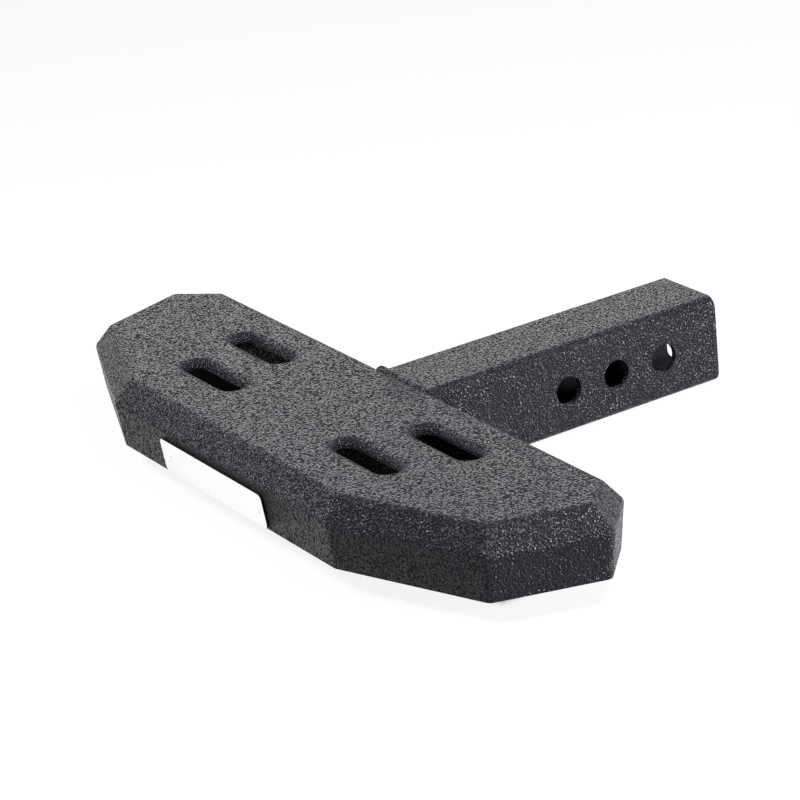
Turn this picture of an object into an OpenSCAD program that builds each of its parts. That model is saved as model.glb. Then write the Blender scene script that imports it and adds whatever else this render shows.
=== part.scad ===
// Hitch step: a folded steel step pad on a square shank that slides into a 2 in receiver tube.
//
// The pad is one folded and pressed sheet, open underneath. It has a flat top, a sloped band all
// round, a skirt that leans inwards, and four slots whose rims are pressed down into the pad.
// The shank is a square tube with three pin holes. It passes through a notch in the rear skirt,
// carries the top from below and is welded to the skirt outside.
//
// Frame: the origin is the middle of the outermost pin hole, on the shank's centre line.
// +X runs along the pad, +Y towards the shank's open end, +Z up.

/* [Step pad] */
// Overall width of the pad, across its two widest corners (mm)
pad_w = 437; // [300:1:700]
// Overall depth of the pad, front to back (mm)
pad_d = 123.5; // [105:0.5:180]
// Length of the straight rear edge
rear_edge_l = 380; // [270:1:640]
// Length of the straight front edge
front_edge_l = 219; // [160:1:400]
// Width across the two corners where the ends meet the front slants
front_corner_w = 396; // [280:1:650]
// Distance of the widest corners in front of the rear edge
widest_back = 27; // [15:0.5:40]
// Distance of the front slant's outer corners in front of the rear edge
front_corner_back = 89; // [75:0.5:100]
// Height of the pad, top face to the skirt's lower edge
pad_h = 38.1; // [30:0.1:60]
// Thickness of the steel sheet
sheet_t = 3; // [2:0.1:4]
// Outer radius of the folds
fold_r = 4.5; // [4.2:0.1:7]

/* [Band and skirt] */
// Drop of the sloped band below the top face
band_drop = 12.7; // [8:0.1:18]
// Width of the sloped band, seen from above
band_in = 10; // [6:0.5:15]
// How far the skirt leans inwards at its lower edge
skirt_in = 3; // [0.5:0.5:6]

/* [Slots] */
// Length of a slot, over its pressed rim
slot_l = 62; // [45:0.5:80]
// Width of a slot, over its pressed rim
slot_w = 22.5; // [18:0.5:28]
// Outer radius of the pressed rim, which is also its depth
rim_r = 5; // [4:0.1:7]
// Distance of the front slots' middles from the centre line
front_slot_x = 77.5; // [65:0.5:110]
// Distance of the rear slots' middles from the centre line
rear_slot_x = 92.5; // [70:0.5:120]
// Distance of the front slots in front of the rear edge
front_slot_back = 77.5; // [72:0.5:85]
// Distance of the rear slots in front of the rear edge
rear_slot_back = 38.5; // [33:0.5:42]

/* [Shank] */
// Outside width of the square tube
tube_w = 50.8; // [49:0.1:52]
// Wall thickness of the tube
tube_wall = 3.2; // [2.5:0.1:6.4]
// Outer corner radius of the tube
tube_r = 6.4; // [6.4:0.1:8]
// Length of tube behind the pad's rear edge
tube_out = 186; // [150:0.5:300]
// Distance of the tube's front end behind the pad's front edge
tube_back = 30.1; // [15:0.1:60]
// Diameter of the pin holes
pin_d = 16.4; // [12:0.1:17]
// Distance of the outermost pin hole from the tube's open end
pin_edge = 37.5; // [25:0.5:60]
// Distance from one pin hole to the next
pin_pitch = 32.4; // [25:0.1:50]
// Gap between the tube and the notch in the rear skirt, each side
notch_gap = 0.6; // [0.2:0.1:1.5]

/* [Welds] */
// Radius of the weld bead over the tube's top
top_bead_r = 3.4; // [3:0.1:4]
// Radius of the weld beads down the tube's sides
side_bead_r = 3; // [2.5:0.1:4]
// Length of the side beads
side_bead_l = 21; // [12:0.5:22]
// Distance of the side beads' upper ends below the fold of band and skirt
side_bead_down = 2; // [1:0.1:3]

/* [Name plate] */
// Length of the plate
plate_l = 106; // [60:1:180]
// Height of the plate
plate_h = 20; // [14:0.5:21]
// Thickness of the plate
plate_t = 1.2; // [0.8:0.1:2]
// Corner radius of the plate
plate_r = 3; // [1:0.5:5]
// Distance of the plate's middle from the pad's centre line
plate_x = -7; // [-20:1:20]
// Distance of the plate's upper edge below the fold of band and skirt
plate_down = 4.8; // [4:0.1:5]
// Distance of each rivet from the plate's end
rivet_edge = 6.2; // [4:0.1:12]
// Diameter of the rivet heads
rivet_head_d = 5; // [4:0.1:7]
// Height of the rivet heads
rivet_head_h = 1.2; // [0.8:0.1:1.8]
// Diameter of the rivet shanks
rivet_d = 2.4; // [2:0.1:3.2]

/* [View] */
// Which sub-part to draw

/* [Hidden] */
$fn = 48;
ball_fn = 32; // facets round the folds' corners
lap = 1; // how far joined volumes run into each other
tail_gap = 0.03; // clearance between the sheet and the rivets' tails
tail_share = 0.75; // radius of a rivet's tail, as a share of the rivet's diameter
bead_out_share = 0.25; // how far the top bead stands out of the band, as a share of its radius
tube_half = tube_w / 2;
tube_l = tube_out + pad_d - tube_back; // overall length of the tube
rear_y = pin_edge - tube_out; // the pad's rear edge
top_z = tube_half + sheet_t; // the pad's top face
fold_z = top_z - band_drop; // fold between band and skirt
skirt_z = top_z - pad_h; // the skirt's lower edge
skirt_drop = pad_h - band_drop;
skirt_lean = atan(skirt_in / skirt_drop);
front_y = rear_y - pad_d;
outline = [
    [rear_edge_l / 2, rear_y],
    [-rear_edge_l / 2, rear_y],
    [-pad_w / 2, rear_y - widest_back],
    [-front_corner_w / 2, rear_y - front_corner_back],
    [-front_edge_l / 2, front_y],
    [front_edge_l / 2, front_y],
    [front_corner_w / 2, rear_y - front_corner_back],
    [pad_w / 2, rear_y - widest_back],
];
corners = len(outline);

// The section of band and skirt: unit vectors that point into the pad, across and up
band_len = norm([band_in, band_drop]);
band_n = [band_drop, -band_in] / band_len;
skirt_len = norm([skirt_in, skirt_drop]);
skirt_n = [skirt_drop, skirt_in] / skirt_len;
section_det = band_n[0] * skirt_n[1] - band_n[1] * skirt_n[0];

// Where the middles of the folds' radii lie, as distance in from the outline and height
top_mid_z = top_z - fold_r;
top_mid_in = (fold_r - band_n[1] * (top_mid_z - fold_z)) / band_n[0];
fold_mid_in = fold_r * (skirt_n[1] - band_n[1]) / section_det;
fold_mid_z = fold_z + fold_r * (band_n[0] - skirt_n[0]) / section_det;
low_mid_z = skirt_z - 2 * fold_r;
low_mid_in = (fold_r - skirt_n[1] * (low_mid_z - fold_z)) / skirt_n[0];

steel_colour = "#3a3a3d";
weld_colour = "#434347";
plate_colour = "#e6e7e8";
rivet_colour = "#cfd1d3";

function unit(v) = v / norm(v);

// One corner of the outline, moved inwards so that both of its sides move by d
function inset_corner(i, d) =
    let (here = outline[i])
    let (u = unit(here - outline[(i + corners - 1) % corners]))
    let (w = unit(outline[(i + 1) % corners] - here))
    let (n = [-u[1], u[0]])
    let (m = [-w[1], w[0]])
    here + d * (n + m) / (1 + n * m);

// Folded steel pad

// A ball whose facets reach its full radius at top and bottom, so that the pad's faces stay true
module fold_ball(i, inward, z, r) {
    p = inset_corner(i, inward);
    translate([p[0], p[1], z])
        rotate_extrude($fn = ball_fn)
            intersection() {
                circle(r = r, $fn = ball_fn);
                translate([0, -r])
                    square([r, 2 * r]);
            }
}

// The pad's full volume down past the skirt, with folds of radius r round the same middles
module pad_volume(r) {
    hull() {
        for (i = [0 : corners - 1]) {
            fold_ball(i, top_mid_in, top_mid_z, r);
            fold_ball(i, fold_mid_in, fold_mid_z, r);
            fold_ball(i, low_mid_in, low_mid_z, r);
        }
    }
}

module stadium(l, w) {
    square([l - w, w], center = true);
    for (side = [-1, 1])
        translate([side * (l - w) / 2, 0])
            circle(d = w);
}

// Section of the pressed rim: the sheet bends from level to straight down
module rim_section() {
    intersection() {
        difference() {
            circle(r = rim_r);
            circle(r = rim_r - sheet_t);
        }
        square(rim_r);
    }
    translate([-lap, rim_r - sheet_t])
        square([lap, sheet_t]);
}

// Rim of one slot, about the slot's middle, with the pad's top face at zero height
module slot_rim() {
    straight = slot_l - slot_w;
    for (side = [-1, 1]) {
        translate([side * straight / 2, 0, -rim_r])
            rotate([0, 0, side > 0 ? -90 : 90])
                rotate_extrude(angle = 180)
                    translate([slot_w / 2, 0])
                        mirror([1, 0])
                            rim_section();
        rotate([0, 0, side > 0 ? 0 : 180])
            translate([straight / 2, slot_w / 2, -rim_r])
                rotate([90, 0, -90])
                    linear_extrude(straight)
                        rim_section();
    }
}

module at_slots() {
    for (side = [-1, 1]) {
        translate([side * front_slot_x, rear_y - front_slot_back, top_z])
            children();
        translate([side * rear_slot_x, rear_y - rear_slot_back, top_z])
            children();
    }
}

// The middle of the plate on the skirt's front face, with +Z pointing out of it
module at_plate() {
    translate([plate_x, front_y, fold_z])
        rotate([90 + skirt_lean, 0, 0])
            translate([0, -plate_down - plate_h / 2, 0])
                children();
}

module at_rivets() {
    for (side = [-1, 1])
        at_plate()
            translate([side * (plate_l / 2 - rivet_edge), 0, 0])
                children();
}

module step_shell() {
    notch_w = tube_w + 2 * notch_gap;
    color(steel_colour) {
        difference() {
            pad_volume(fold_r);
            pad_volume(fold_r - sheet_t);
            translate([-pad_w, front_y - pad_d, skirt_z - pad_h])
                cube([2 * pad_w, 3 * pad_d, pad_h]);
            translate([-notch_w / 2, rear_y - band_in - fold_r, skirt_z - lap])
                cube([notch_w, band_in + 2 * fold_r, tube_half - skirt_z + lap]);
            at_slots()
                translate([0, 0, -2 * sheet_t])
                    linear_extrude(3 * sheet_t)
                        stadium(slot_l, slot_w);
            at_rivets()
                translate([0, 0, -2 * sheet_t])
                    cylinder(d = rivet_d + 2 * tail_gap, h = 3 * sheet_t);
        }
        at_slots()
            slot_rim();
    }
}

// Square shank

module rounded_square(w, r) {
    square([w, w - 2 * r], center = true);
    square([w - 2 * r, w], center = true);
    for (x = [-1, 1], y = [-1, 1])
        translate([x * (w / 2 - r), y * (w / 2 - r)])
            circle(r = r);
}

module tube_blank() {
    translate([0, pin_edge, 0])
        rotate([90, 0, 0])
            linear_extrude(tube_l)
                rounded_square(tube_w, tube_r);
}

module shank_tube() {
    color(steel_colour)
        difference() {
            tube_blank();
            translate([0, pin_edge + lap, 0])
                rotate([90, 0, 0])
                    linear_extrude(tube_l + 2 * lap)
                        rounded_square(tube_w - 2 * tube_wall, tube_r - tube_wall);
            for (hole = [0 : 2])
                translate([-tube_w, -hole * pin_pitch, 0])
                    rotate([0, 90, 0])
                        cylinder(d = pin_d, h = 2 * tube_w);
        }
}

// Weld beads where the shank leaves the pad: one over the top and one down each side
module shank_welds() {
    top_bead_l = tube_w - 2 * tube_r;
    band_y = rear_y - band_in + band_in / band_drop * sheet_t;
    top_bead_y = band_y + bead_out_share * top_bead_r;
    color(weld_colour)
        difference() {
            union() {
                translate([-top_bead_l / 2, top_bead_y, tube_half])
                    rotate([0, 90, 0])
                        cylinder(r = top_bead_r, h = top_bead_l);
                for (side = [-1, 1]) {
                    translate([side * top_bead_l / 2, top_bead_y, tube_half])
                        sphere(r = top_bead_r);
                    translate([side * tube_half, rear_y, fold_z])
                        rotate([-skirt_lean, 0, 0])
                            translate([0, 0, -side_bead_down - side_bead_l])
                                cylinder(r = side_bead_r, h = side_bead_l);
                }
            }
            pad_volume(fold_r);
            tube_blank();
        }
}

// Name plate and its rivets

module name_plate() {
    color(plate_colour)
        at_plate()
            difference() {
                linear_extrude(plate_t)
                    union() {
                        square([plate_l, plate_h - 2 * plate_r], center = true);
                        square([plate_l - 2 * plate_r, plate_h], center = true);
                        for (x = [-1, 1], y = [-1, 1])
                            translate([x * (plate_l / 2 - plate_r), y * (plate_h / 2 - plate_r)])
                                circle(r = plate_r);
                    }
                for (side = [-1, 1])
                    translate([side * (plate_l / 2 - rivet_edge), 0, -lap])
                        cylinder(d = rivet_d, h = plate_t + 2 * lap);
            }
}

// Half section of one blind rivet: shallow head outside, straight shank, swelled tail inside
module rivet_half_section() {
    cap_r = (pow(rivet_head_d / 2, 2) + pow(rivet_head_h, 2)) / (2 * rivet_head_h);
    intersection() {
        translate([0, plate_t + rivet_head_h - cap_r])
            circle(r = cap_r);
        translate([0, plate_t])
            square([rivet_head_d / 2, rivet_head_h]);
    }
    translate([0, -sheet_t - lap])
        square([rivet_d / 2, plate_t + sheet_t + lap]);
    translate([0, -sheet_t - tail_gap - rivet_head_h])
        square([tail_share * rivet_d, rivet_head_h]);
}

module plate_rivets() {
    color(rivet_colour)
        at_rivets()
            rotate_extrude()
                rivet_half_section();
}

step_shell();
shank_tube();
shank_welds();
name_plate();
plate_rivets();
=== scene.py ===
"""Hitch receiver step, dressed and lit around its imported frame.

The pad, shank and weld beads keep their solids and get a sprayed textured coating. The name plate
and its rivets are modelled here in more detail. Lengths in the pieces' and finishes' classes are
millimetres in the part's own frame: +X along the pad, +Y towards the shank's open end, +Z up.
"""

import logging
import math
from dataclasses import dataclass
from enum import Enum

import bmesh
import bpy
from mathutils import Matrix, Vector


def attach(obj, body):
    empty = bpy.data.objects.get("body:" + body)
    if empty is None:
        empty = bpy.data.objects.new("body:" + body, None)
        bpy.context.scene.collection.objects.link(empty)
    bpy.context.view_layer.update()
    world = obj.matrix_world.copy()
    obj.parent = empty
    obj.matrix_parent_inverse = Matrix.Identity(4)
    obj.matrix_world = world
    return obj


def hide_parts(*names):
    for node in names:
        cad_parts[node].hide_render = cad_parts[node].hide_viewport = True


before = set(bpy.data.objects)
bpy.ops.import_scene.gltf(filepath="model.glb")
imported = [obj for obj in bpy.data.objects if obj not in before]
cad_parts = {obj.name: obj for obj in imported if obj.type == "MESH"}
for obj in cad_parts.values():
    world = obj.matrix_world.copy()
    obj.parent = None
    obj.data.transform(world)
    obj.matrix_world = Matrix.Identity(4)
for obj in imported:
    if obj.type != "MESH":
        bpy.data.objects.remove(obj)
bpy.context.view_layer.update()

log = logging.getLogger("hitch_step")
MM = 0.001
MERGE_REACH = 1e-7  # Metres within which two points are one.
WHITE = "#ffffff"


class Slot(Enum):
    """Material slots of the part's record, one for each piece made here."""

    BARE_PLATE = "bare_plate"
    RIVET_METAL = "rivet_metal"


def linear(colour: str) -> tuple[float, float, float, float]:
    """Turns an sRGB hex colour into the linear colour that shaders use.

    Args:
        colour: Six hex digits after a hash.

    Returns:
        Red, green, blue and an alpha of one.
    """
    parts = [int(colour[i : i + 2], 16) / 255 for i in (1, 3, 5)]
    # The numbers are those of the sRGB curve itself.
    return (*(c / 12.92 if c <= 0.04045 else ((c + 0.055) / 1.055) ** 2.4 for c in parts), 1.0)


def add_node(tree: bpy.types.NodeTree, kind: str, inputs: dict[str | int, object] | None = None,
             **settings: object) -> bpy.types.Node:
    """Adds one node with its settings and links.

    Args:
        tree: The node tree to add to.
        kind: The node's type name.
        inputs: Values or output sockets for the node's inputs, by name or number.
        **settings: Properties of the node itself.

    Returns:
        The new node.
    """
    node = tree.nodes.new(kind)
    for name, value in settings.items():
        setattr(node, name, value)
    for name, value in (inputs or {}).items():
        if isinstance(value, bpy.types.NodeSocket):
            tree.links.new(value, node.inputs[name])
        else:
            node.inputs[name].default_value = value
    return node


def new_material(name: str) -> tuple[bpy.types.Material, bpy.types.NodeTree]:
    """Makes an empty material with nodes.

    Args:
        name: The material's name.

    Returns:
        The material and its cleared node tree.
    """
    material = bpy.data.materials.new(name)
    material.use_nodes = True
    material.node_tree.nodes.clear()
    return material, material.node_tree


@dataclass(frozen=True)
class TexturedCoating:
    """Sprayed textured powder coating on steel: a black resin that pulls into small hard grains.

    To the eye it is a fine grey speckle on the top, which is seen at a low angle, and black with
    bright glints on the slopes, because the grains' crests are smooth and the pits between them
    are matt. Real grains are about 0.5 mm across, less than a pixel of the camera's view, so they
    are drawn as coarse as they need to be to show, at about two pixels.

    Attributes:
        name: The material's name.
        pit: Colour between the grains, darker than the crest's as painted shade in the hollows.
        crest: Colour on the grains.
        shine: Tint of the reflections at a right angle.
        ior: Index of refraction, matched to how grey the low-angle surfaces look.
        crest_roughness: Roughness on the grains.
        pit_roughness: Roughness between the grains.
        grain: Distance between grains.
        grain_height: Height of a grain above its pit.
        dome_reach: Distance from a grain's middle to its pit, as a share of the grain.
        dome_power: How much rounder than a cone a grain is.
        smoothness: How softly neighbouring grains run together.
        warp_size: Size of the noise that bends the grains' rows, as a share of the grain.
        warp_shift: How far that noise moves a grain, as a share of the grain.
        drift_share: How much that noise also raises and lowers the grains.
        fine_size: Size of the fine noise on the grains, as a share of the grain.
        fine_share: How much the fine noise raises and lowers the surface.
        dark_below: Height at and below which the colour is the pit's.
        light_above: Height at and above which the colour is the crest's.
        matt_below: Height at and below which the roughness is the pit's.
        gloss_above: Height at and above which the roughness is the crest's.
        inside: On a tube, half the width within which it is left dark and matt.
    """

    name: str = "textured_coating"
    pit: str = "#030305"
    crest: str = "#0c0b11"
    shine: str = "#f8f3ff"
    ior: float = 1.3
    crest_roughness: float = 0.12
    pit_roughness: float = 0.9
    grain: float = 1.18
    grain_height: float = 0.45
    dome_reach: float = 0.7
    dome_power: float = 2.0
    smoothness: float = 0.3
    warp_size: float = 1.6
    warp_shift: float = 1.2
    drift_share: float = 0.5
    fine_size: float = 0.35
    fine_share: float = 0.12
    dark_below: float = 0.5
    light_above: float = 1.0
    matt_below: float = 0.5
    gloss_above: float = 0.9
    inside: float | None = None

    def grain_heights(self, tree: bpy.types.NodeTree,
                      place: bpy.types.NodeSocket) -> bpy.types.NodeSocket:
        """Draws the grains: bent rows of soft domes with a fine noise on them.

        Args:
            tree: The coating's node tree.
            place: Object coordinates.

        Returns:
            The surface's height, about zero in the pits and one or more on the grains.
        """
        warp = add_node(tree, "ShaderNodeTexNoise", {
            "Vector": place, "Scale": 1 / (self.warp_size * self.grain * MM), "Detail": 1.0,
            "Roughness": 0.5})
        shift = add_node(tree, "ShaderNodeVectorMath", {
            0: warp.outputs["Color"], 1: (0.5, 0.5, 0.5)}, operation="SUBTRACT")
        shift = add_node(tree, "ShaderNodeVectorMath", {
            0: shift.outputs[0], "Scale": self.warp_shift * self.grain * MM}, operation="SCALE")
        bent = add_node(tree, "ShaderNodeVectorMath", {0: place, 1: shift.outputs[0]}, operation="ADD")
        cell = add_node(tree, "ShaderNodeTexVoronoi", {
            "Vector": bent.outputs[0], "Scale": 1 / (self.grain * MM),
            "Smoothness": self.smoothness, "Randomness": 1.0}, feature="SMOOTH_F1")
        slope = add_node(tree, "ShaderNodeMapRange", {
            "Value": cell.outputs["Distance"], "From Min": 0.0, "From Max": self.dome_reach})
        bowl = add_node(tree, "ShaderNodeMath", {
            0: slope.outputs[0], 1: self.dome_power}, operation="POWER")
        dome = add_node(tree, "ShaderNodeMath", {0: 1.0, 1: bowl.outputs[0]}, operation="SUBTRACT")
        drift = add_node(tree, "ShaderNodeMath", {
            0: warp.outputs["Fac"], 1: self.drift_share, 2: dome.outputs[0]},
            operation="MULTIPLY_ADD")
        fine = add_node(tree, "ShaderNodeTexNoise", {
            "Vector": place, "Scale": 1 / (self.fine_size * self.grain * MM), "Detail": 1.0,
            "Roughness": 0.5})
        return add_node(tree, "ShaderNodeMath", {
            0: fine.outputs["Fac"], 1: self.fine_share, 2: drift.outputs[0]},
            operation="MULTIPLY_ADD").outputs[0]

    def inside_mask(self, tree: bpy.types.NodeTree,
                    place: bpy.types.NodeSocket) -> bpy.types.NodeSocket:
        """Finds the tube's inner walls, which are drawn in the pit's dark colour and matt roughness.

        Args:
            tree: The coating's node tree.
            place: Object coordinates.

        Returns:
            One on the inner walls, zero outside.
        """
        axes = add_node(tree, "ShaderNodeSeparateXYZ", {0: place})
        wide, high = (add_node(tree, "ShaderNodeMath", {0: axes.outputs[i]}, operation="ABSOLUTE")
                      for i in "XZ")
        reach = add_node(tree, "ShaderNodeMath", {
            0: wide.outputs[0], 1: high.outputs[0]}, operation="MAXIMUM")
        return add_node(tree, "ShaderNodeMath", {
            0: reach.outputs[0], 1: self.inside * MM}, operation="LESS_THAN").outputs[0]

    def material(self) -> bpy.types.Material:
        """Builds the coating.

        Returns:
            The coating's material.
        """
        material, tree = new_material(self.name)
        place = add_node(tree, "ShaderNodeTexCoord").outputs["Object"]
        height = self.grain_heights(tree, place)
        bump = add_node(tree, "ShaderNodeBump", {
            "Height": height, "Strength": 1.0, "Distance": self.grain_height * MM})
        if self.inside:
            height = add_node(tree, "ShaderNodeMath", {
                0: height, 1: self.inside_mask(tree, place)}, operation="SUBTRACT").outputs[0]
        # The pits are coloured darker than the crests: painted shade in the hollows between the
        # grains, which a bump casts none into.
        tone = add_node(tree, "ShaderNodeValToRGB", {"Fac": height})
        low, high = tone.color_ramp.elements
        low.position, low.color = self.dark_below, linear(self.pit)
        high.position, high.color = self.light_above, linear(self.crest)
        rough = add_node(tree, "ShaderNodeMapRange", {
            "Value": height, "From Min": self.matt_below, "From Max": self.gloss_above,
            "To Min": self.pit_roughness, "To Max": self.crest_roughness})
        shader = add_node(tree, "ShaderNodeBsdfPrincipled", {
            "Base Color": tone.outputs["Color"], "Roughness": rough.outputs[0], "IOR": self.ior,
            "Specular Tint": linear(self.shine), "Normal": bump.outputs[0]})
        add_node(tree, "ShaderNodeOutputMaterial", {"Surface": shader.outputs[0]})
        return material


@dataclass(frozen=True)
class SatinAluminium:
    """Bare aluminium, brushed along its length.

    To the eye it is a bright, even, soft shine, nearly white beside the black coating. Real brush
    lines are under 0.1 mm wide, so they are drawn as coarse as they need to be to show close up.

    Attributes:
        name: The material's name.
        colour: Colour of the metal.
        roughness: Roughness of the brushed surface.
        roughness_spread: How far the roughness changes from line to line, either way.
        line_width: Width of a brush line.
        line_length: Length of a brush line.
        line_depth: Depth of a brush line.
        line_strength: How much of that depth tilts the reflections.
    """

    name: str = "satin_aluminium"
    colour: str = "#f6f7f8"
    roughness: float = 0.34
    roughness_spread: float = 0.06
    line_width: float = 0.25
    line_length: float = 24.0
    line_depth: float = 0.004
    line_strength: float = 0.5

    def material(self) -> bpy.types.Material:
        """Builds the brushed metal.

        Returns:
            The metal's material.
        """
        material, tree = new_material(self.name)
        place = add_node(tree, "ShaderNodeTexCoord").outputs["Object"]
        along, across = 1 / (self.line_length * MM), 1 / (self.line_width * MM)
        lined = add_node(tree, "ShaderNodeMapping", {
            "Vector": place, "Scale": (along, across, across)})
        brush = add_node(tree, "ShaderNodeTexNoise", {
            "Vector": lined.outputs[0], "Scale": 1.0, "Detail": 2.0})
        rough = add_node(tree, "ShaderNodeMapRange", {
            "Value": brush.outputs["Fac"], "To Min": self.roughness - self.roughness_spread,
            "To Max": self.roughness + self.roughness_spread})
        bump = add_node(tree, "ShaderNodeBump", {
            "Height": brush.outputs["Fac"], "Strength": self.line_strength,
            "Distance": self.line_depth * MM})
        shader = add_node(tree, "ShaderNodeBsdfPrincipled", {
            "Base Color": linear(self.colour), "Metallic": 1.0, "Roughness": rough.outputs[0],
            "Normal": bump.outputs[0]})
        add_node(tree, "ShaderNodeOutputMaterial", {"Surface": shader.outputs[0]})
        return material


@dataclass(frozen=True)
class BlackPlateEdge:
    """Near-black matt finish on the plate's cut edges and back.

    To the eye it is a thin, matt, dark line round the bright face.

    Attributes:
        name: The material's name.
        colour: Colour of the edge.
        roughness: Roughness of the edge.
        roughness_spread: How far the roughness changes from place to place, either way.
        speck: Size of the matt and less matt places.
        ior: Index of refraction, low so that the edge hardly shines.
    """

    name: str = "black_plate_edge"
    colour: str = "#060606"
    roughness: float = 0.85
    roughness_spread: float = 0.08
    speck: float = 0.8
    ior: float = 1.2

    def material(self) -> bpy.types.Material:
        """Builds the edge finish.

        Returns:
            The edge finish's material.
        """
        material, tree = new_material(self.name)
        place = add_node(tree, "ShaderNodeTexCoord").outputs["Object"]
        peel = add_node(tree, "ShaderNodeTexNoise", {
            "Vector": place, "Scale": 1 / (self.speck * MM), "Detail": 1.0})
        rough = add_node(tree, "ShaderNodeMapRange", {
            "Value": peel.outputs["Fac"], "To Min": self.roughness - self.roughness_spread,
            "To Max": self.roughness + self.roughness_spread})
        shader = add_node(tree, "ShaderNodeBsdfPrincipled", {
            "Base Color": linear(self.colour), "Roughness": rough.outputs[0], "IOR": self.ior})
        add_node(tree, "ShaderNodeOutputMaterial", {"Surface": shader.outputs[0]})
        return material


def finish_piece(bm: bmesh.types.BMesh, name: str, materials: list[bpy.types.Material],
                 smooth_angle: float = 0.6) -> bpy.types.Object:
    """Turns a bmesh into a linked object with clean, outward faces.

    Args:
        bm: The finished bmesh in metres, in place.
        name: The object's name.
        materials: Its materials, in slot order.
        smooth_angle: Edges that turn by less than this many radians are shaded smooth.

    Returns:
        The new object, at the origin.
    """
    bmesh.ops.recalc_face_normals(bm, faces=bm.faces)
    for face in bm.faces:
        face.smooth = True
    for edge in bm.edges:
        edge.smooth = len(edge.link_faces) == 2 and edge.calc_face_angle(0.0) < smooth_angle
    mesh = bpy.data.meshes.new(name)
    bm.to_mesh(mesh)
    bm.free()
    for material in materials:
        mesh.materials.append(material)
    piece = bpy.data.objects.new(name, mesh)
    bpy.context.scene.collection.objects.link(piece)
    return piece


def dress_node(node: str, material: bpy.types.Material) -> None:
    """Gives a kept CAD node its finish.

    Args:
        node: The node's name.
        material: The material for all of its faces.
    """
    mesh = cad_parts[node].data
    mesh.materials.clear()
    mesh.materials.append(material)
    log.info("%s keeps its solid, finished with %s", node, material.name)


@dataclass
class StepPad:
    """The folded pad: the frame's own solid under its coating.

    Attributes:
        front_y: The front skirt's upper edge, where it meets the sloped band.
        fold_z: Height of that edge.
        skirt_drop: Height of the skirt.
        skirt_in: How far its lower edge lies inwards of its upper edge.
    """

    front_y: float = -272.0
    fold_z: float = 15.7
    skirt_drop: float = 25.4
    skirt_in: float = 3.0

    @property
    def skirt_lean(self) -> float:
        """Angle by which the skirt leans inwards, in radians."""
        return math.atan2(self.skirt_in, self.skirt_drop)

    def skirt_place(self, x: float, down: float) -> Matrix:
        """Finds a place on the front skirt.

        Args:
            x: Distance from the pad's centre line.
            down: Distance below the fold, along the skirt.

        Returns:
            A matrix whose X runs along the pad, Y up the skirt and Z out of it, in metres.
        """
        return (Matrix.Translation(Vector((x, self.front_y, self.fold_z)) * MM)
                @ Matrix.Rotation(math.radians(90) + self.skirt_lean, 4, "X")
                @ Matrix.Translation(Vector((0, -down, 0)) * MM))

    def build(self, coating: bpy.types.Material) -> None:
        """Dresses the pad in the coating."""
        dress_node("step_shell", coating)


@dataclass
class Shank:
    """The square tube and the weld beads at the pad.

    Attributes:
        dark_inside_reach: Half the width within which the tube's wall is drawn dark and matt.
    """

    dark_inside_reach: float = 22.4

    def build(self, coating: bpy.types.Material) -> None:
        """Dresses the tube, dark inside, and its welds.

        Args:
            coating: The coating that the welds share with the pad.
        """
        tube = TexturedCoating(name="textured_coating_tube", inside=self.dark_inside_reach)
        dress_node("shank_tube", tube.material())
        dress_node("shank_welds", coating)


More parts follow.
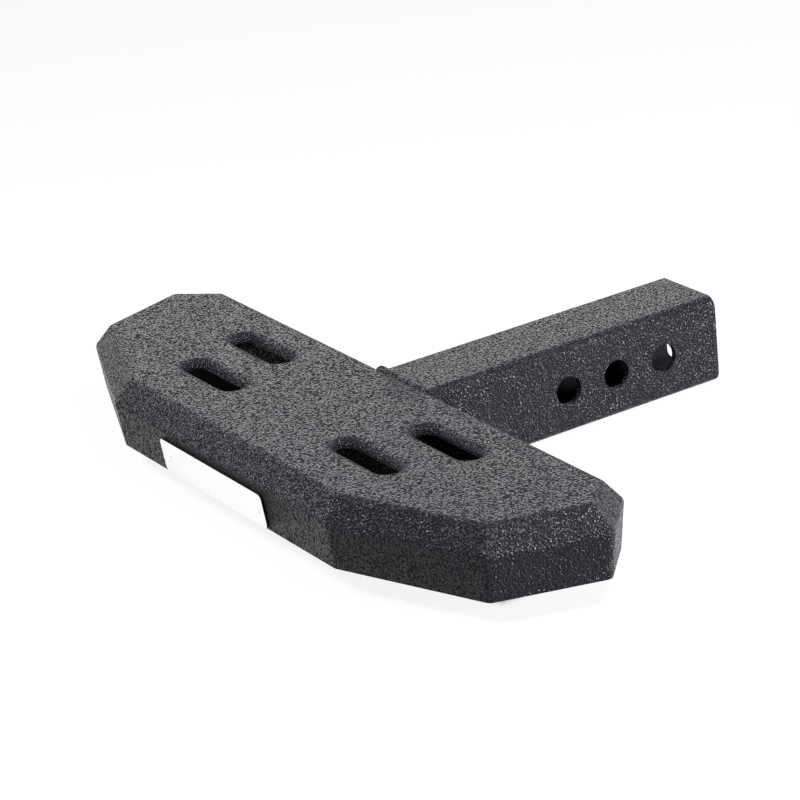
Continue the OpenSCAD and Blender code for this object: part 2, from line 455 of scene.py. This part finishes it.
@dataclass(frozen=True)
class BlindRivet:
    """A small domed blind rivet, set through the plate and the skirt's sheet.

    Attributes:
        head_d: Width of the domed head.
        head_h: Height of the head above the plate, and of the tail behind the sheet.
        head_wall: Height of the head's straight edge.
        dome: Points of the dome: share of the head's radius, and drop below its top.
        mandrel_d: Width of the broken mandrel in the head's middle.
        dimple: Points of the dimple over it: share of the mandrel's radius, and drop.
        dimple_lip: Width of the lip round the dimple.
        stem_d: Width of the stem in the plate and sheet, a little less than that of its hole.
        sheet: Thickness of the skirt's sheet.
        tail_gap: Gap between the sheet and the tail, so that they don't cut each other.
        tail_d: Width of the swelled tail.
        tail_wall: Height of the tail's straight side.
        tail_end: Width of the tail's flat end, as a share of the tail's.
        steps: Faces round the rivet.
        smooth_angle: Edges that turn by less than this many radians are shaded smooth.
    """

    head_d: float = 5.0
    head_h: float = 1.15
    head_wall: float = 0.1
    dome: tuple[tuple[float, float], ...] = ((0.62, 0.14), (0.82, 0.42), (0.95, 0.75))
    mandrel_d: float = 1.5
    dimple: tuple[tuple[float, float], ...] = ((0.0, 0.2), (0.8, 0.18), (1.0, 0.06))
    dimple_lip: float = 0.25
    stem_d: float = 2.4
    sheet: float = 3.0
    tail_gap: float = 0.03
    tail_d: float = 3.6
    tail_wall: float = 0.9
    tail_end: float = 0.6
    steps: int = 48
    smooth_angle: float = 0.7

    def half_section(self, plate: float) -> list[tuple[float, float]]:
        """Lists the rivet's half section, from the dimple round the head to the tail's middle.

        Args:
            plate: Thickness of the plate, which the head stands on.

        Returns:
            Radius and height of each point, the height from the plate's back.
        """
        head, mandrel, stem, tail = (
            wide / 2 for wide in (self.head_d, self.mandrel_d, self.stem_d, self.tail_d))
        top, inner = plate + self.head_h, -self.sheet - self.tail_gap
        return [
            *((share * mandrel, top - drop) for share, drop in self.dimple),
            (mandrel + self.dimple_lip, top),
            *((share * head, top - drop) for share, drop in self.dome),
            (head, plate + self.head_wall), (head, plate), (stem, plate),
            (stem, inner), (tail, inner), (tail, inner - self.tail_wall),
            (self.tail_end * tail, inner - self.head_h), (0, inner - self.head_h),
        ]

    def add_to(self, bm: bmesh.types.BMesh, plate: float, place: Matrix) -> None:
        """Turns one rivet into a bmesh.

        Args:
            bm: The bmesh that gets the rivet.
            plate: Thickness of the plate.
            place: The rivet's place on the plate's back, in metres.
        """
        done = set(bm.verts)
        verts = [bm.verts.new((r * MM, 0, z * MM)) for r, z in self.half_section(plate)]
        edges = [bm.edges.new(pair) for pair in zip(verts, verts[1:])]
        bmesh.ops.spin(bm, geom=verts + edges, cent=(0, 0, 0), axis=(0, 0, 1), angle=math.tau,
                       steps=self.steps, use_merge=True, dvec=(0, 0, 0))
        bmesh.ops.remove_doubles(bm, verts=[v for v in bm.verts if v not in done],
                                 dist=MERGE_REACH)
        bmesh.ops.transform(bm, matrix=place, verts=[v for v in bm.verts if v not in done])


@dataclass
class NamePlate:
    """The bare plate on the front skirt, with its two blind rivets.

    Attributes:
        pad: The pad that carries the plate.
        rivet: The rivet at each end.
        length: Length along the pad.
        height: Height along the skirt.
        thickness: Thickness of the plate.
        corner: Radius of its corners.
        corner_steps: Faces round each corner.
        x: Distance of its middle from the pad's centre line.
        down: Distance of its upper edge below the fold.
        edge_round: Radius of its softened front edge.
        edge_steps: Faces round that edge.
        face_up: How nearly a face has to point forwards to be bright, as a cosine.
        rivet_edge: Distance of each rivet from the plate's end.
    """

    pad: StepPad
    rivet: BlindRivet = BlindRivet()
    length: float = 106.0
    height: float = 20.0
    thickness: float = 1.2
    corner: float = 3.0
    corner_steps: int = 10
    x: float = -7.0
    down: float = 4.8
    edge_round: float = 0.18
    edge_steps: int = 3
    face_up: float = 0.9
    rivet_edge: float = 6.2

    def place(self) -> Matrix:
        """Finds the middle of the plate's back on the skirt."""
        return self.pad.skirt_place(self.x, self.down + self.height / 2)

    def plate(self, face: bpy.types.Material, edge: bpy.types.Material) -> bpy.types.Object:
        """Models the plate: a rounded blank with softened edges.

        Args:
            face: Material of the front.
            edge: Material of the cut edges and back.

        Returns:
            The plate's object.
        """
        half_way = 0.5 * self.thickness * MM
        bm = bmesh.new()
        bmesh.ops.create_grid(bm, x_segments=1, y_segments=1, size=0.5 * MM)
        bmesh.ops.scale(bm, vec=(self.length, self.height, 1), verts=bm.verts)
        bmesh.ops.bevel(bm, geom=bm.verts[:], offset=self.corner * MM, affect="VERTICES",
                        segments=self.corner_steps, profile=0.5, material=-1, offset_type="OFFSET")
        back = bm.faces[:]
        front = bmesh.ops.extrude_face_region(bm, geom=back, use_keep_orig=True)["geom"]
        raised = [g for g in front if isinstance(g, bmesh.types.BMVert)]
        bmesh.ops.translate(bm, vec=(0, 0, self.thickness * MM), verts=raised)
        rim = [e for e in bm.edges if all(v.co.z > half_way for v in e.verts)]
        bmesh.ops.bevel(bm, geom=rim, offset=self.edge_round * MM, affect="EDGES",
                        segments=self.edge_steps, profile=0.5, material=-1)
        bm.normal_update()
        for item in bm.faces:
            forward = item.normal.z > self.face_up and item.calc_center_median().z > half_way
            item.material_index = 0 if forward else 1
        bmesh.ops.transform(bm, matrix=self.place(), verts=bm.verts)
        return finish_piece(bm, "plate_blank", [face, edge])

    def rivets(self, metal: bpy.types.Material) -> bpy.types.Object:
        """Models both blind rivets: domed head with the mandrel's dimple, stem and swelled tail.

        Args:
            metal: Material of the rivets.

        Returns:
            One object that holds both rivets.
        """
        bm = bmesh.new()
        for side in (-1, 1):
            along = side * (self.length / 2 - self.rivet_edge) * MM
            self.rivet.add_to(bm, self.thickness, self.place() @ Matrix.Translation((along, 0, 0)))
        return finish_piece(bm, "blind_rivets", [metal], smooth_angle=self.rivet.smooth_angle)

    def build(self, face: bpy.types.Material, edge: bpy.types.Material,
              metal: bpy.types.Material) -> None:
        """Adds the plate and rivets in place of their plain solids.

        Args:
            face: Material of the plate's front.
            edge: Material of its cut edges and back.
            metal: Material of the rivets.
        """
        for piece, node, slot in (
            (self.plate(face, edge), "name_plate", Slot.BARE_PLATE),
            (self.rivets(metal), "plate_rivets", Slot.RIVET_METAL),
        ):
            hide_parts(node)
            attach(piece, "root")
            log.info("%s stands for %s with %d faces", piece.name, node, len(piece.data.polygons))


@dataclass(frozen=True)
class SoftBox:
    """One square studio lamp. Its lengths are metres.

    Attributes:
        name: The lamp's name.
        place: Where it stands.
        aim: The point that it faces.
        watts: Its power.
        side: Length of its sides.
        colour: Colour of its light.
    """

    name: str
    place: tuple[float, float, float]
    aim: tuple[float, float, float]
    watts: float
    side: float = 0.35
    colour: str = WHITE

    def build(self) -> None:
        """Adds the lamp to the scene."""
        data = bpy.data.lights.new(self.name, "AREA")
        data.shape = "RECTANGLE"
        data.size = data.size_y = self.side
        data.energy = self.watts
        data.color = linear(self.colour)[:3]
        lamp = bpy.data.objects.new(self.name, data)
        lamp.location = self.place
        facing = Vector(self.aim) - Vector(self.place)
        lamp.rotation_euler = facing.to_track_quat("-Z", "Y").to_euler()
        bpy.context.scene.collection.objects.link(lamp)
        log.info("lamp %s of %g W", self.name, self.watts)


@dataclass(frozen=True)
class Studio:
    """White floor, white surroundings, lamps and the camera.

    Attributes:
        floor_z: Height of the floor, at the tube's underside.
        floor_side: Length of the floor's sides, in metres.
        floor_colour: Colour that the lamps light.
        floor_lift: Glow added where the floor is seen, which makes it white there.
        backdrop_way: Direction in which the white backdrop stands.
        backdrop_side: Where the backdrop starts and where it is full, as cosines from that way.
        backdrop_top: Where it starts to fade upwards and where it ends, as sines of the height.
        back_white: Strength of the backdrop.
        front_dark: Strength of the dim room everywhere else.
        shade_middle: Middle of the painted shade on the floor under the pad.
        shade_half: Half its length and depth.
        shade_slant: Direction across its cut corners.
        shade_reach: How far the cut corners lie from the part's origin, along that direction.
        shade_soft: Width of its soft edge.
        painted_shade_colour: Colour of the floor in it, darker than the lit floor: painted shade.
        azimuth: The camera's angle round the part, in degrees from the front.
        elevation: The camera's angle above the floor, in degrees.
        roll: The camera's tilt, in degrees.
        camera_at: The camera's place, in metres.
        lens: Its focal length.
        sensor: Width of its sensor.
        clip_end: How far it sees, in metres.
        boxes: The lamps.
    """

    floor_z: float = -25.4
    floor_side: float = 16.0
    floor_colour: str = "#4c4c4c"
    floor_lift: float = 0.88
    backdrop_way: tuple[float, float, float] = (-0.906, 0.423, 0.0)
    backdrop_side: tuple[float, float] = (0.36, 0.82)
    backdrop_top: tuple[float, float] = (0.28, 0.52)
    back_white: float = 2.6
    front_dark: float = 0.02
    shade_middle: tuple[float, float] = (-26.5, -193.5)
    shade_half: tuple[float, float] = (189.5, 41.5)
    shade_slant: tuple[float, float, float] = (0.341, 0.94, 0.0)
    shade_reach: float = 250.0
    shade_soft: float = 14.0
    painted_shade_colour: str = "#141414"
    azimuth: float = 59.208
    elevation: float = 22.177
    roll: float = 5.843
    camera_at: tuple[float, float, float] = (1.36525, -0.97053, 0.66283)
    lens: float = 144.13
    sensor: float = 36.0
    clip_end: float = 100.0
    boxes: tuple[SoftBox, ...] = (
        SoftBox("front_lamp", (-0.05, -1.0, 1.0), (0, -0.1, 0), 30),
        SoftBox("right_lamp", (0.8, -0.1, 1.15), (0, -0.1, 0), 22),
        SoftBox("back_right_lamp", (1.2, 0.75, 0.3), (0.1, -0.1, 0), 74),
    )

    def seen_rays(self, tree: bpy.types.NodeTree) -> bpy.types.NodeSocket:
        """Finds the rays that see the floor: those of the camera, of gloss and through glass.

        Args:
            tree: The floor's node tree.

        Returns:
            One for those rays, zero for the rest.
        """
        path = add_node(tree, "ShaderNodeLightPath")
        both = add_node(tree, "ShaderNodeMath", {
            0: path.outputs["Is Camera Ray"], 1: path.outputs["Is Glossy Ray"]},
            operation="MAXIMUM")
        return add_node(tree, "ShaderNodeMath", {
            0: both.outputs[0], 1: path.outputs["Is Transmission Ray"]},
            operation="MAXIMUM").outputs[0]

    def add_world(self) -> None:
        """Makes the room: a white backdrop behind the step, with soft edges, in a dim room."""
        world = bpy.data.worlds.new("studio_room")
        world.use_nodes = True
        tree = world.node_tree
        tree.nodes.clear()
        way = add_node(tree, "ShaderNodeTexCoord").outputs["Generated"]
        facing = add_node(tree, "ShaderNodeVectorMath", {
            0: way, 1: self.backdrop_way}, operation="DOT_PRODUCT")
        side = add_node(tree, "ShaderNodeMapRange", {
            "Value": facing.outputs["Value"], "From Min": self.backdrop_side[0],
            "From Max": self.backdrop_side[1]}, interpolation_type="SMOOTHSTEP")
        up = add_node(tree, "ShaderNodeSeparateXYZ", {0: way}).outputs["Z"]
        below_top = add_node(tree, "ShaderNodeMapRange", {
            "Value": up, "From Min": self.backdrop_top[0], "From Max": self.backdrop_top[1],
            "To Min": 1.0, "To Max": 0.0}, interpolation_type="SMOOTHSTEP")
        cloth = add_node(tree, "ShaderNodeMath", {
            0: side.outputs[0], 1: below_top.outputs[0]}, operation="MULTIPLY")
        strength = add_node(tree, "ShaderNodeMapRange", {
            "Value": cloth.outputs[0], "To Min": self.front_dark, "To Max": self.back_white})
        light = add_node(tree, "ShaderNodeBackground", {
            "Color": linear(WHITE), "Strength": strength.outputs[0]})
        add_node(tree, "ShaderNodeOutputWorld", {"Surface": light.outputs[0]})
        bpy.context.scene.world = world

    def open_floor(self, tree: bpy.types.NodeTree) -> bpy.types.NodeSocket:
        """Finds the floor that lies outside the painted shade under the pad.

        Args:
            tree: The floor's node tree.

        Returns:
            Zero under the pad's eight-sided outline, rising softly to one outside it.
        """
        middle = Vector((*self.shade_middle, self.floor_z)) * MM
        half = Vector((*self.shade_half, 0)) * MM
        place = add_node(tree, "ShaderNodeTexCoord").outputs["Object"]
        # The distance outside a rectangle gives four of the sides.
        away = add_node(tree, "ShaderNodeVectorMath", {0: place, 1: middle}, operation="SUBTRACT")
        away = add_node(tree, "ShaderNodeVectorMath", {0: away.outputs[0]}, operation="ABSOLUTE")
        past = add_node(tree, "ShaderNodeVectorMath", {
            0: away.outputs[0], 1: half}, operation="SUBTRACT")
        past = add_node(tree, "ShaderNodeVectorMath", {
            0: past.outputs[0], 1: (0, 0, 0)}, operation="MAXIMUM")
        past = add_node(tree, "ShaderNodeVectorMath", {0: past.outputs[0]}, operation="LENGTH")
        # The distance along a slant, the same to the left and right, cuts the corners off.
        folded = add_node(tree, "ShaderNodeVectorMath", {0: place}, operation="ABSOLUTE")
        slant = add_node(tree, "ShaderNodeVectorMath", {
            0: folded.outputs[0], 1: self.shade_slant}, operation="DOT_PRODUCT")
        slant = add_node(tree, "ShaderNodeMath", {
            0: slant.outputs["Value"], 1: self.shade_reach * MM}, operation="SUBTRACT")
        edge = add_node(tree, "ShaderNodeMath", {
            0: past.outputs["Value"], 1: slant.outputs[0]}, operation="MAXIMUM")
        return add_node(tree, "ShaderNodeMapRange", {
            "Value": edge.outputs[0], "From Max": self.shade_soft * MM},
            interpolation_type="SMOOTHSTEP").outputs[0]

    def add_floor(self) -> None:
        """Lays the floor under the shank, lifted to white where it is seen; under the pad it is
        painted dark as shade, without the lift.
        """
        material, tree = new_material("white_table_top")
        clear = self.open_floor(tree)
        # The glow is left out under the pad, a painted shade that the camera and the pad's insides
        # see.
        seen = add_node(tree, "ShaderNodeMath", {
            0: self.seen_rays(tree), 1: clear}, operation="MULTIPLY")
        lift = add_node(tree, "ShaderNodeMath", {
            0: seen.outputs[0], 1: self.floor_lift}, operation="MULTIPLY")
        # Under the pad the floor's colour falls to a darker one, painted shade.
        tone = add_node(tree, "ShaderNodeValToRGB", {"Fac": clear})
        under, bare = tone.color_ramp.elements
        under.color, bare.color = linear(self.painted_shade_colour), linear(self.floor_colour)
        matt = add_node(tree, "ShaderNodeBsdfDiffuse", {"Color": tone.outputs["Color"]})
        glow = add_node(tree, "ShaderNodeEmission", {
            "Color": linear(WHITE), "Strength": lift.outputs[0]})
        both = add_node(tree, "ShaderNodeAddShader", {0: matt.outputs[0], 1: glow.outputs[0]})
        add_node(tree, "ShaderNodeOutputMaterial", {"Surface": both.outputs[0]})

        bm = bmesh.new()
        bmesh.ops.create_grid(bm, x_segments=1, y_segments=1, size=self.floor_side / 2)
        bmesh.ops.translate(bm, vec=(0, 0, self.floor_z * MM), verts=bm.verts)
        finish_piece(bm, "table_top", [material])

    def add_camera(self) -> None:
        """Sets the camera where the photograph was taken from, as fitted to the part's corners."""
        data = bpy.data.cameras.new("photo_camera")
        data.sensor_width = self.sensor
        data.lens = self.lens
        data.clip_end = self.clip_end
        around, up, tilt = (math.radians(a) for a in (self.azimuth, self.elevation, self.roll))
        camera = bpy.data.objects.new("photo_camera", data)
        turn = (Matrix.Rotation(around, 4, "Z") @ Matrix.Rotation(math.radians(90) - up, 4, "X")
                @ Matrix.Rotation(-tilt, 4, "Z"))
        camera.matrix_world = Matrix.Translation(self.camera_at) @ turn
        bpy.context.scene.collection.objects.link(camera)
        bpy.context.scene.camera = camera

    def build(self) -> None:
        """Sets up the whole studio."""
        bpy.context.scene.view_settings.view_transform = "Standard"
        self.add_camera()
        self.add_world()
        self.add_floor()
        for box in self.boxes:
            box.build()


def main() -> None:
    """Builds the studio and each sub-assembly."""
    logging.basicConfig(level=logging.INFO, format="%(message)s")
    Studio().build()
    coating = TexturedCoating().material()
    pad = StepPad()
    pad.build(coating)
    Shank().build(coating)
    # The rivets were tumbled in a drum, so they are duller than the brushed plate.
    rivet_metal = SatinAluminium(name="tumbled_aluminium", roughness=0.55).material()
    NamePlate(pad).build(SatinAluminium().material(), BlackPlateEdge().material(), rivet_metal)


if __name__ == "__main__":
    main()
